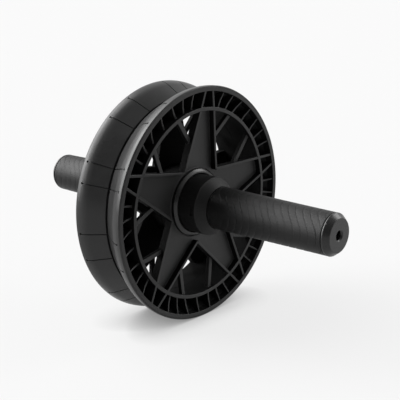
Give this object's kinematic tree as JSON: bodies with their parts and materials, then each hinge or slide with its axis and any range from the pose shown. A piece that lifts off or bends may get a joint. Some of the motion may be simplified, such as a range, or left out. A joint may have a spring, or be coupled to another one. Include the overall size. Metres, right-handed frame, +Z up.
{
  "type": "ab wheel roller",
  "caption": "Ab wheel roller with a broad split-tread star wheel in rubber tyres, spinning freely on an axle between rubber-covered handles that end in rounded caps.",
  "frame": {"origin": "centre of the wheel on the axle's line, which is the centre of the whole object", "axes": "+Y along the axle, +Z up as the wheel stands on its tread, +X along the rolling direction; right-hand pieces are on the -Y side"},
  "size_m": [0.2, 0.316, 0.2],
  "materials": {
    "wheel_plastic": "black moulded plastic with a fine matte grain",
    "tread_rubber": "black rubber, dull, slightly scuffed",
    "ring_plastic": "black satin plastic",
    "handle_plastic": "black satin plastic",
    "grip_rubber": "black ribbed rubber, dull",
    "cap_plastic": "black satin plastic",
    "steel": "zinc plated steel",
    "bush_plastic": "pale unfilled nylon"
  },
  "bodies": {
    "handles": {"axle": "steel", "axle_sleeve": "steel", "right_handle_core": "handle_plastic", "left_handle_core": "handle_plastic", "right_grip": "grip_rubber", "left_grip": "grip_rubber", "right_end_cap": "cap_plastic", "left_end_cap": "cap_plastic", "right_end_screw": "steel", "left_end_screw": "steel", "right_screw_washer": "steel", "left_screw_washer": "steel", "right_thrust_washer": "bush_plastic", "left_thrust_washer": "bush_plastic"},
    "wheel": {"right_wheel_half": "wheel_plastic", "left_wheel_half": "wheel_plastic", "right_tyre": "tread_rubber", "left_tyre": "tread_rubber", "right_hub_ring": "ring_plastic", "left_hub_ring": "ring_plastic", "right_bush": "bush_plastic", "left_bush": "bush_plastic", "joining_dowels": "bush_plastic"}
  },
  "joints": [
    {"name": "wheel_spin", "type": "hinge", "parent": "handles", "child": "wheel", "pos_m": [0, 0, 0], "axis": [0, 1, 0], "continuous": true}
  ]
}
